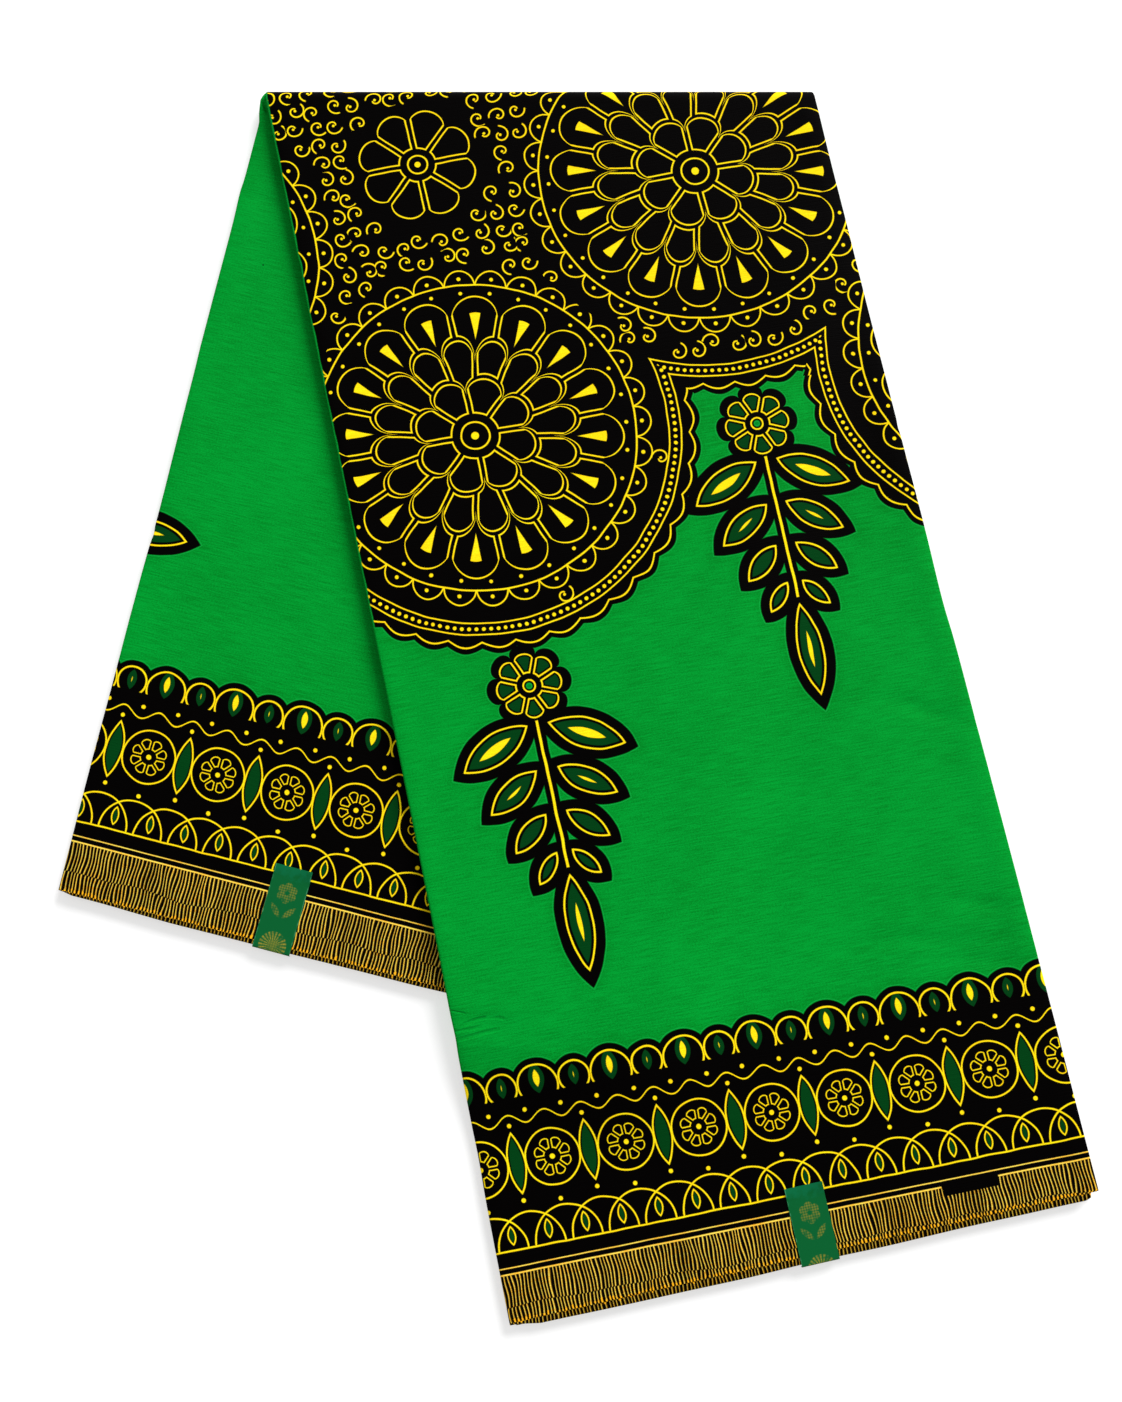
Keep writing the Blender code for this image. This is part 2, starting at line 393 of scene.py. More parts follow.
def spot(stretch, across, run, depth, angle=0.0):
    """The place of a point this deep below a stretch's upper face. The angle is how far round the
    turn it lies."""
    if angle > 0.0:
        round_turn = angle / math.pi
        front, back = edge_shift("front", across, 0.0), edge_shift("back", across, 0.0)
        shift = front * (1.0 - round_turn) + back * round_turn
        x = across + shift - TURN_DRIFT * round_turn
        radius = TURN_RADIUS - depth
        y = radius * math.sin(angle)
        z = TURN_RADIUS + radius * math.cos(angle)
    else:
        across += edge_shift(stretch, across, run / math.cos(LEAN[stretch]))
        x = strip_x(stretch, across, run)
        y = -run
        thickness = stack_height(run)
        lift = relief(stretch, x, run) * (1.0 - depth / thickness)
        z = underside(stretch, x, run) + thickness - depth + lift
    return Vector((TURN_LEFT.x + x, TURN_LEFT.y + y, z))


def add_piece(name, points, faces, places):
    """A piece from its points, its faces and each point's place on the cloth."""
    mesh = bpy.data.meshes.new(name)
    mesh.from_pydata(points, [], faces)
    cloth = mesh.uv_layers.new(name="cloth")
    for loop in mesh.loops:
        cloth.data[loop.index].uv = places[loop.vertex_index][:2]
    from_hem = mesh.attributes.new("from_hem", "FLOAT", "POINT")
    from_hem.data.foreach_set("value", [place[2] for place in places])
    piece = bpy.data.objects.new(name, mesh)
    bpy.context.scene.collection.objects.link(piece)
    return piece


def select_only(piece):
    bpy.ops.object.select_all(action="DESELECT")
    piece.select_set(True)
    bpy.context.view_layer.objects.active = piece


def give_thickness(piece, thickness):
    """Turns an outer face into a closed sheet, with its thickness on the inner side."""
    select_only(piece)
    solidify = piece.modifiers.new("thickness", "SOLIDIFY")
    solidify.thickness = thickness
    solidify.offset = -1.0
    bpy.ops.object.modifier_apply(modifier=solidify.name)


def lay_out_bake(piece, outer_faces):
    """The map that an export bakes a ply's colours through. The outer face fills most of it, so that
    fine stripes stay sharp. The hidden inner face has a strip beside it, and the rim's faces, which
    come last in the mesh, have a cell each in BAKE_RIM_COLUMNS narrow columns."""
    mesh = piece.data
    mesh.uv_layers.new(name="OFBake")
    cloth = [Vector(corner.uv) for corner in mesh.uv_layers["cloth"].data]
    low = Vector(min(uv[axis] for uv in cloth) for axis in (0, 1))
    high = Vector(max(uv[axis] for uv in cloth) for axis in (0, 1))
    column_cells = math.ceil((len(mesh.polygons) - 2 * outer_faces) / BAKE_RIM_COLUMNS)
    baked = mesh.uv_layers["OFBake"].data
    for face in mesh.polygons:
        start, width = BAKE_OUTER if face.index < outer_faces else BAKE_INNER
        for loop, corner in zip(face.loop_indices, ((0, 0), (0, 1), (1, 1), (1, 0))):
            x, y = ((cloth[loop][axis] - low[axis]) / (high[axis] - low[axis]) for axis in (0, 1))
            if face.index >= 2 * outer_faces:
                column, cell = divmod(face.index - 2 * outer_faces, column_cells)
                start, width = BAKE_RIM[0] + BAKE_RIM_STEP * column, BAKE_RIM[1]
                x, y = corner[0], (cell + BAKE_CELL_FILL * corner[1]) / column_cells
            baked[loop].uv = [BAKE_MARGIN + (1 - 2 * BAKE_MARGIN) * part for part in (start + width * x, y)]


def finish_piece(piece, replaced, smooth_to=40):
    select_only(piece)
    bpy.ops.object.shade_smooth_by_angle(angle=math.radians(smooth_to))
    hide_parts(replaced)
    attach(piece, "root")


def grid_faces(width, height):
    corners = [row * width + column for row in range(height - 1) for column in range(width - 1)]
    return [(corner, corner + 1, corner + width + 1, corner + width) for corner in corners]


def grid_stations(stretch, grid):
    """The rows of a stretch's grid, from the hem up to the turn and, on the front, round it: the part
    of the way to the hem, and the angle round the turn."""
    rows = round(LEFT_EDGE[stretch] / grid)
    stations = [(1.0 - row / rows, 0.0) for row in range(rows + 1)]
    if stretch == "front":
        stations += [(0.0, math.pi * step / TURN_STEPS) for step in range(1, TURN_STEPS + 1)]
    return stations


def ply_columns(stretch):
    """The top ply's columns, from left to right round both rolled edges: the place along the turn's
    line, the depth, and the place on the flattened cloth."""
    left, right = ROLL[stretch]
    turns = [ROLL_END * step / ROLL_STEPS for step in range(1, ROLL_STEPS + 1)]
    columns = [
        (left - left * math.sin(a), left - left * math.cos(a), left - left * a) for a in reversed(turns)
    ]
    flat = TURN_LINE - left - right
    steps = round(flat / PLY_GRID)
    for step in range(steps + 1):
        across = left + flat * step / steps
        columns.append((across, 0.0, across))
    end = left + flat
    columns += [(end + right * math.sin(a), right - right * math.cos(a), end + right * a) for a in turns]
    return columns


def top_ply(stretch):
    """The uppermost ply of a stretch. The front one goes round the turn to the underside."""
    columns = ply_columns(stretch)
    stations = grid_stations(stretch, PLY_GRID)
    points = []
    places = []
    for part, angle in stations:
        for across, depth, spread in columns:
            waver = HEM_WAVER * noise.noise(Vector((across / HEM_WAVER_LENGTH, 2.0, 0.0)))
            reach = CORNER_REACH[stretch] * smooth_fall(across - CORNER_START, CORNER_WIDTH)
            run = (hem_run(stretch, across) - (HEM_SHORT[stretch] - reach) + waver) * part
            points.append(spot(stretch, across, run, depth, angle))
            unrolled = run - TURN_RADIUS * angle
            places.append(cloth_place(stretch, strip_x(stretch, spread, unrolled), unrolled))
    faces = grid_faces(len(columns), len(stations))
    piece = add_piece(stretch + "_ply", points, faces, places)
    give_thickness(piece, PLY)
    lay_out_bake(piece, len(faces))
    return piece


def flat_cut(stretch):
    """A top ply's flat cut, with its rolled edges let out: its width and longest side, and its area.
    It is square at the hem, or nearly so, and slanted where it turns."""
    width = (ply_columns(stretch)[-1][2] - ply_columns(stretch)[0][2]) * math.cos(LEAN[stretch])
    sides = [hem_run(stretch, end) / math.cos(LEAN[stretch]) for end in (0.0, TURN_LINE)]
    turned = math.pi * TURN_RADIUS / math.cos(LEAN[stretch]) if stretch == "front" else 0.0
    beyond = turned - HEM_SHORT[stretch]
    return (round(width, 3), round(max(sides) + beyond, 3)), round(width * (sum(sides) / 2 + beyond), 4)


def leaf_bends():
    """The bends of the leaves' edges, from the top down: the depth as a part of the stack, the leaf,
    and how far the bend stands back from the leaf's own edge."""
    bends = []
    top = 0.0
    for number, leaf in enumerate(LEAVES):
        for part, back in LEAF_PROFILE:
            bends.append((top + leaf["share"] * part, number, GROOVE * back))
        top += leaf["share"]
    bends.append((1.0, len(LEAVES) - 1, GROOVE))
    return bends


def leaf_edge(edge, bend, place):
    """How far a bend of the stack's side stands in from the strip's outline."""
    _, number, back = bend
    inset = LEAVES[number][edge]
    if back == GROOVE and number:
        inset = max(inset, LEAVES[number - 1][edge])
    waver = WAVER * (1.0 + noise.noise(Vector((place / WAVER_LENGTH, number * WAVER_STEP, len(edge)))))
    return inset + back + waver


def between_rows(rows, place, column=1):
    """A value at this place in a table whose rows each start with their own place."""
    for row, next_row in zip(rows, rows[1:]):
        if place <= next_row[0]:
            part = (place - row[0]) / (next_row[0] - row[0])
            return row[column] + (next_row[column] - row[column]) * part
    return rows[-1][column]


def stack_point(stretch, column, bend, part, angle, at_hem):
    """A point of the plies under the top one, with its place on the cloth."""
    share, number, _ = bend
    across = TURN_LINE * column / STACK_COLUMNS
    run = hem_run(stretch, across) * part
    thickness = TURN_STACK if angle else stack_height(run)
    depth = PLY + (thickness - PLY) * share
    edge_place = run - TURN_RADIUS * angle
    left, right = ROLL[stretch]
    if column == 0:
        inset = leaf_edge("left", bend, edge_place)
        across += max(inset, INSIDE_ROLL) if depth < 2 * left else inset
    if column == STACK_COLUMNS:
        inset = leaf_edge("right", bend, edge_place)
        across -= max(inset, INSIDE_ROLL) if depth < 2 * right else inset
    if at_hem:
        run -= leaf_edge("hem", bend, across)
        if number == 0:
            across -= SECOND_PLY_CORNER if column == STACK_COLUMNS else 0.0
            run += between_rows(SECOND_PLY[stretch], min(max(across / TURN_LINE, 0.0), 1.0))
    point = spot(stretch, across, run, depth, angle)
    unrolled = run - TURN_RADIUS * angle
    spread = strip_x(stretch, across + LEAF_SHIFT * number, unrolled)
    x, y, from_hem = cloth_place(stretch, spread, unrolled)
    y = min(y, PLAIN_ROW) if stretch == "front" else max(y, CLOTH_ACROSS - PLAIN_ROW)
    return point, (x, y, from_hem)


def ply_stack(stretch):
    """The plies under the top one, as one closed solid that is layered at its edges."""
    bends = leaf_bends()
    stations = grid_stations(stretch, STACK_GRID)
    numbers = {}
    points = []
    places = []
    faces = []

    def point(column, bend, station):
        key = (column, bend, station)
        if key not in numbers:
            numbers[key] = len(points)
            place, cloth = stack_point(stretch, column, bends[bend], *stations[station], station == 0)
            points.append(place)
            places.append(cloth)
        return numbers[key]

    def side(first, second, corner):
        for a in range(first):
            for b in range(second):
                ends = ((a, b), (a + 1, b), (a + 1, b + 1), (a, b + 1))
                faces.append([point(*corner(*end)) for end in ends])

    levels = len(bends) - 1
    last = len(stations) - 1
    for level in (levels, 0):
        side(STACK_COLUMNS, last, lambda a, b: (a, level, b))
    for column in (0, STACK_COLUMNS):
        side(levels, last, lambda a, b: (column, a, b))
    for station in (0, last):
        side(STACK_COLUMNS, levels, lambda a, b: (a, b, station))
    piece = add_piece(stretch + "_plies", points, faces, places)
    shaping = bmesh.new()
    shaping.from_mesh(piece.data)
    bmesh.ops.recalc_face_normals(shaping, faces=shaping.faces)
    shaping.to_mesh(piece.data)
    shaping.free()
    return piece


def corner_pleat():
    """The back's upper ply where the strip's turning pushed it out: a small pleat with a rolled edge
    at the turn's left end. It starts between the plies and ends inside the ply that it is part of."""
    first, last = PLEAT[0][0], PLEAT[-1][0]
    crease = Vector(PLEAT_CREASE[1]) - Vector(PLEAT_CREASE[0])
    points = []
    places = []
    for row in range(PLEAT_ROWS + 1):
        down = first + (last - first) * row / PLEAT_ROWS
        outer = between_rows(PLEAT, down) + PLEAT_ROLL
        height = between_rows(PLEAT, down, 2)
        drift = TURN_DRIFT * smooth_fall(-down, PLEAT_FOOT_REACH)
        inner = strip_x("front", 0.0, max(down, 0.0)) - drift + PLEAT_TUCK
        inner = max(inner - max(-down - PLEAT_FOOT, 0.0), outer + PLEAT_LEAST_WIDTH)
        columns = []
        for step in range(PLEAT_COLUMNS + 1):
            columns.append((inner + (outer - inner) * step / PLEAT_COLUMNS, height))
        for step in range(1, ROLL_STEPS + 1):
            angle = PLEAT_ROLL_END * step / ROLL_STEPS
            rolled = outer - PLEAT_ROLL * math.sin(angle)
            columns.append((rolled, height - PLEAT_ROLL * (1 - math.cos(angle))))
        for x, z in columns:
            offset = Vector((x, down)) - Vector(PLEAT_CREASE[0])
            lengthwise = offset.dot(crease) / crease.length
            sideways = (offset.x * crease.y - offset.y * crease.x) / crease.length
            reach = 2.0 * lengthwise / crease.length - 1.0
            z -= PLEAT_CREASE_DEPTH * math.exp(-((sideways / PLEAT_CREASE_WIDTH) ** 2) - reach ** 4)
            points.append(Vector((TURN_LEFT.x + x, TURN_LEFT.y - down, z)))
            places.append((PLEAT_PRINT[0] + x, PLEAT_PRINT[1] + down, PLEAT_PRINT[2]))
    faces = grid_faces(len(columns), PLEAT_ROWS + 1)
    piece = add_piece("back_corner_pleat", points, faces, places)
    give_thickness(piece, PLY)
    return piece


def label_rows(length):
    """A label's way to the hem and over it: how far along it lies, and how far below the flat."""
    flat = length - LABEL_BEND
    rows = [(flat * row / LABEL_ROWS, 0.0) for row in range(LABEL_ROWS + 1)]
    for step in range(1, BEND_STEPS + 1):
        angle = math.pi / 2 * step / BEND_STEPS
        rows.append((flat + LABEL_BEND * math.sin(angle), LABEL_BEND * (1.0 - math.cos(angle))))
    rows.append((length, LABEL_BEND + LABEL_LIP))
    return rows


def paper_label(label):
    """A label's paper, which lies on its stretch, bends down over the hem and is lifted at its upper
    end. Its last few millimetres keep the height that they start with, whatever the hem does."""
    stretch = label["stretch"]
    lean = LEAN[stretch]
    turned = lean + math.radians(label["turned"])
    down = Vector((math.sin(turned), -math.cos(turned)))
    sideways = Vector((math.cos(turned), math.sin(turned)))
    start = label["across"] / math.cos(lean)
    hem = hem_run(stretch, start)
    corner = Vector((strip_x(stretch, start, hem), -hem)) + down * (label["past"] - label["length"])
    points = []
    places = []
    paper = 0.0
    last_row = (0.0, 0.0)
    for along, sunk in label_rows(label["length"]):
        paper += math.dist((along, sunk), last_row)
        last_row = (along, sunk)
        for column in range(LABEL_COLUMNS + 1):
            part = column / LABEL_COLUMNS
            edge = corner + sideways * (label["width"] * part)
            place = edge + down * along
            level = edge + down * min(along, label["length"] - LABEL_LEVEL_END)
            x, run = level.x, -level.y
            top = underside(stretch, x, run) + stack_height(run) + relief(stretch, x, run)
            lift = LIFTED_LEAST + LIFTED_CORNERS * (part - LIFTED_LEAST_PLACE) ** 2
            lifted = LIFTED_END * smooth_fall(along, LIFTED_LENGTH) * lift
            height = top + LABEL_CLEARANCE + LABEL_PAPER + lifted - sunk
            points.append(Vector((TURN_LEFT.x + place.x, TURN_LEFT.y + place.y, height)))
            places.append((label["width"] * part, -paper, 0.0))
    faces = [tuple(reversed(face)) for face in grid_faces(LABEL_COLUMNS + 1, LABEL_ROWS + BEND_STEPS + 2)]
    piece = add_piece(label["name"] + "_paper", points, faces, places)
    give_thickness(piece, LABEL_PAPER)
    return piece


def linear(code):
    """A colour from its sRGB hex code."""
    parts = [int(code[start:start + 2], 16) / 255 for start in (1, 3, 5)]
    return tuple(p / 12.92 if p <= 0.04045 else ((p + 0.055) / 1.055) ** 2.4 for p in parts) + (1.0,)


def add_node(tree, kind, inputs=(), **settings):
    """Adds a node with its settings, and sets or links its inputs by their names or numbers."""
    made = tree.nodes.new(kind)
    for name, value in settings.items():
        setattr(made, name, value)
    for name, value in dict(inputs).items():
        if isinstance(value, bpy.types.NodeSocket):
            tree.links.new(value, made.inputs[name])
        else:
            made.inputs[name].default_value = value
    return made


# Charts are written as text and become Math nodes. Their sizes are in millimetres on the cloth, and
# their edges fade over a third of a millimetre: inside(a) is 1 where the depth a is above 0,
# line(a, b) is a line of half width b along a = 0, repeat(a, b) is the offset from the nearest step
# of b, far(a, b) is the length of an offset, and hump(a) is a hump between a = -1 and a = 1.
SIGNS = {
    ast.Add: ("ADD", operator.add),
    ast.Sub: ("SUBTRACT", operator.sub),
    ast.Mult: ("MULTIPLY", operator.mul),
    ast.Div: ("DIVIDE", operator.truediv),
}
CALLS = dict(
    abs="ABSOLUTE", sqrt="SQRT", sin="SINE", cos="COSINE", atan2="ARCTAN2", fract="FRACT",
    min="MINIMUM", max="MAXIMUM", less="LESS_THAN",
)
SHORTHANDS = dict(
    line="inside(b - abs(a))",
    repeat="(fract(a / b + 0.5) - 0.5) * b",
    far="sqrt(a * a + b * b)",
    hump="max(1 - a * a, 0)",
)
EDGE_SHARPNESS = 3.0


def chart(tree, text, **known):
    """Turns a chart into Math nodes. Each of its lines names a value, which the lines after it may
    use, and all values are given back by name, as numbers or as the sockets that hold them."""

    def join(operation, *values, clamp=False):
        return add_node(
            tree, "ShaderNodeMath", enumerate(values), operation=operation, use_clamp=clamp
        ).outputs[0]

    def walk(part):
        if isinstance(part, ast.Constant):
            return part.value
        if isinstance(part, ast.Name):
            return known[part.id]
        if isinstance(part, ast.UnaryOp):
            return join("MULTIPLY", walk(part.operand), -1.0)
        if isinstance(part, ast.BinOp):
            operation, plain = SIGNS[type(part.op)]
            values = walk(part.left), walk(part.right)
            if any(isinstance(value, bpy.types.NodeSocket) for value in values):
                return join(operation, *values)
            return plain(*values)
        values = [walk(value) for value in part.args]
        if part.func.id in ("min", "max"):
            return reduce(lambda a, b: join(CALLS[part.func.id], a, b), values)
        if part.func.id == "inside":
            return join("MULTIPLY_ADD", values[0], EDGE_SHARPNESS, 0.5, clamp=True)
        if part.func.id in SHORTHANDS:
            return formula(tree, SHORTHANDS[part.func.id], **dict(zip("ab", values)))
        return join(CALLS[part.func.id], *values)

    for line in ast.parse(dedent(text)).body:
        known[line.targets[0].id] = walk(line.value)
    return SimpleNamespace(**known)


def formula(tree, text, **known):
    """Turns a single formula into Math nodes, and gives its value."""
    return chart(tree, "value = " + text, **known).value


def deepest(tree, depths):
    """How deep a place lies in the one of several shapes that it lies deepest in."""
    return reduce(lambda a, b: formula(tree, "max(a, b)", a=a, b=b), depths)


# Dyes of the print. The wax leaves a thin light edge on the green beside the black, and burnt
# amber edges in the selvedge's comb.
GREEN = "#01962F"
GREEN_DEEP = "#017A20"
GREEN_EDGE = "#16B04A"
BLACK = "#020101"
LEAF_GREEN = "#023B13"
GOLD = "#FFF016"
GOLD_DEEP = "#FFD410"
STRIPE_GOLD = "#FFE65C"
STRIPE_GOLD_DEEP = "#FFAE20"
AMBER = "#FFB61C"
COTTON_FINISH = {"Roughness": 0.6, "Specular IOR Level": 0.015}

# The cotton's unevenness: how many to a metre there are of the block's wanderings, the streaks along
# and across the warp, the grain and the mottle, then the drawn threads' spacing and relief, and how
# many times as deep the sharp creases are.
WANDER_SCALE = 60.0
STREAK_SCALE = (70.0, 1400.0, 1.0)
GRAIN_SCALE = 1150.0
MOTTLE_SCALE = 16.0
THREAD_SPACING = 0.001
THREAD_RELIEF = 0.0003
CREASE_RELIEF = 5.5

# Inks of the labels.
LABEL_GREEN = "#02592A"
LABEL_WORN = "#046A44"
LABEL_GOLD = "#A0902A"
LABEL_EDGE = "#4E9C74"
LABEL_FINISH = {"Roughness": 0.42, "Specular IOR Level": 0.08}
PAPER_GRAIN_SCALE = 260.0
PAPER_RELIEF = 0.0002

# The whole cloth's middle, between the selvedges, and the width of a border motif. The field's
# motifs repeat on eight of these.
CLOTH_MIDDLE = 585.0
MOTIF = 38.8

# The field's repeat: two big flowers, each in a lobe of the dark ground, the row of the small one
# between them, and the band that the ground fills all across.
FIELD = SimpleNamespace(
    width=8 * MOTIF, right_x=233.0, right_y=602.0, right_lobe=134.0, left_x=78.0, left_y=470.0,
    left_lobe=124.0, small_y=636.0, band_y=645.0, band_half=115.0,
)

# Rings of round-tipped petals, from the outside in: how many, turned by what part of a petal, and
# how far out their notches and tips reach.
BIG_FLOWER = (
    dict(petals=16, turned=0.0, notch=66.0, tip=84.0),
    dict(petals=16, turned=0.5, notch=42.0, tip=58.0),
    dict(petals=8, turned=0.0, notch=23.0, tip=35.0),
)
BIG_FLOWER_EYE = 12.0
BIG_FLOWER_RING = 89.5
SMALL_FLOWER = (dict(petals=8, turned=0.0, notch=25.0, tip=35.0),)
SMALL_FLOWER_EYE = 9.0
ARCS = 32

# Curls keep whole: how far their middles stay from the middle of a big flower and of a small one,
# and from the dark ground's edge.
CURL_SPACING = 11.5
CURL_SCATTER = 0.4
CURL_ROOM = dict(ring=BIG_FLOWER_RING + 13.5, small=SMALL_FLOWER[0]["tip"] + 6.5, trim=20.5)

# A hanging sprig, measured from the lobe that it hangs from: its knot of petals, its stem's ends,
# and its leaves' places, half lengths, half widths and headings.
SPRIG_KNOT = (dict(petals=8, turned=0.5, notch=13.5, tip=19.0),)
SPRIG_KNOT_EYE = 6.0
SPRIG_KNOT_ROW = -21.0
SPRIG_STEM = dict(stem_top=-38.0, stem_tip=-124.0)
SPRIG = (
    dict(x=25.0, y=-52.0, length=23.0, width=9.5, heading=-26),
    dict(x=20.0, y=-77.0, length=19.0, width=8.0, heading=-34),
    dict(x=15.5, y=-100.0, length=15.0, width=6.6, heading=-42),
    dict(x=10.5, y=-120.0, length=11.5, width=5.2, heading=-50),
    dict(x=0.0, y=-151.0, length=28.0, width=8.5, heading=90),
)
STRAY_LEAF = dict(x=-33.0, y=969.0, length=25.0, width=8.5, heading=0)
SPECK = dict(speck_x=71.1, speck_y=801.5)

# The room that the field's motifs take up: the margin round them, a sprig's half width and depth,
# and the stray leaf's half width and half height.
MOTIF_MARGIN = 8.0
SPRIG_ROOM = (60.0, 190.0)
STRAY_ROOM = (36.0, 20.0)

# The border's motifs, from the hem up.
BORDER_SEED = dict(x=0.0, y=45.0, length=5.6, width=2.5, heading=90)
BORDER_DAISY = (dict(petals=8, turned=0.0, notch=7.4, tip=10.6),)
BORDER_DAISY_EYE = 3.6
BORDER_DROP = dict(x=0.0, y=80.0, length=17.0, width=5.6, heading=90)
BORDER_BUD = dict(x=0.0, y=120.5, length=8.0, width=4.2, heading=90)
BORDER_SMALL_BUD = dict(x=0.0, y=119.0, length=5.6, width=2.8, heading=90)

# The place in the front's comb that is left bare: its middle, half length and half height.
BARE_PLACE = dict(bare_x=247.2, bare_y=25.2, bare_length=15.2, bare_height=3.4)
COMB_SPACING = 1.92


def leaf_depth(tree, x, y, leaf):
    """How deep a place lies inside a pointed leaf, which is the overlap of two rounds."""
    heading = math.radians(leaf["heading"])
    offset = (leaf["length"] ** 2 - leaf["width"] ** 2) / (2 * leaf["width"])
    return formula(
        tree,
        "r - far((x - ox) * c + (y - oy) * s, abs((y - oy) * c - (x - ox) * s) + d)",
        x=x, y=y, ox=leaf["x"], oy=leaf["y"], c=math.cos(heading), s=math.sin(heading),
        d=offset, r=offset + leaf["width"],
    )


def flower_depth(tree, r, turn, rings, eye):
    """How deep a place lies inside one of a flower's petals, with the rings lying over each other
    from the inside out."""
    depths = []
    for ring in reversed(rings):
        made = chart(
            tree,
            """
            p = abs(fract(turn * petals + turned) - 0.5) * 2
            tip = notch + (tip - notch) * sqrt(1 - p * p)
            depth = min(tip - r, (1 - p) * r * width, r - inner)
            """,
            r=r, turn=turn, width=math.pi / ring["petals"], inner=eye, **ring,
        )
        depths.append(made.depth)
        eye = made.tip
    return deepest(tree, depths)


def petals_around(tree, x, y, rings, eye):
    """How deep a place lies inside the petals of a flower around 0, how far from its middle it is,
    and how far round."""
    r = formula(tree, "far(x, y)", x=x, y=y)
    turn = formula(tree, "atan2(y, x) / full + 1", x=x, y=y, full=math.tau)
    return flower_depth(tree, r, turn, rings, eye), r, turn


def lobes(tree, x, y):
    """The dark ground's shape at a place: the offsets from the two big flowers' middles, whether the
    right one is the nearer, how far outside the ground it lies, and the offset from the nearer one."""
    return chart(
        tree,
        """
        ax = repeat(x - right_x, width)
        bx = repeat(x - left_x, width)
        ay = y - right_y
        by = y - left_y
        past_right = far(ax, ay) - right_lobe
        past_left = far(bx, by) - left_lobe
        at_right = less(past_right, past_left)
        outside = min(past_right, past_left, abs(y - band_y) - band_half)
        near_x = bx + (ax - bx) * at_right
        near_y = by + (ay - by) * at_right
        """,
        x=x, y=y, **vars(FIELD),
    )


def curls(tree, x, y):
    """Small spiral curls of one line each, scattered and turned every way, each of them whole."""
    place = add_node(tree, "ShaderNodeCombineXYZ", {0: x, 1: y}).outputs[0]
    scatter = add_node(
        tree, "ShaderNodeTexVoronoi",
        {"Vector": place, "Scale": 1 / CURL_SPACING, "Randomness": CURL_SCATTER}, voronoi_dimensions="2D",
    )
    chance = add_node(tree, "ShaderNodeSeparateColor", {0: scatter.outputs["Color"]}).outputs[0]
    middle = add_node(tree, "ShaderNodeSeparateXYZ", {0: scatter.outputs["Position"]})
    at_middle = lobes(tree, middle.outputs[0], middle.outputs[1])
    return chart(
        tree,
        """
        part = fract(atan2(place_y - y, place_x - x) / full + chance * 7)
        room = min(far(near_x, near_y) - ring, far(bx, y - small_y) - small, -outside - trim)
        out = distance * spacing
        spiral = line(out - 1.3 - 4.5 * part, 0.42) * inside((0.93 - part) * 16)
        curl = max(spiral, inside(0.75 - out)) * less(0, room)
        """,
        place_x=x, place_y=y, full=math.tau, chance=chance, distance=scatter.outputs["Distance"],
        spacing=CURL_SPACING, **CURL_ROOM, **vars(at_middle),
    ).curl


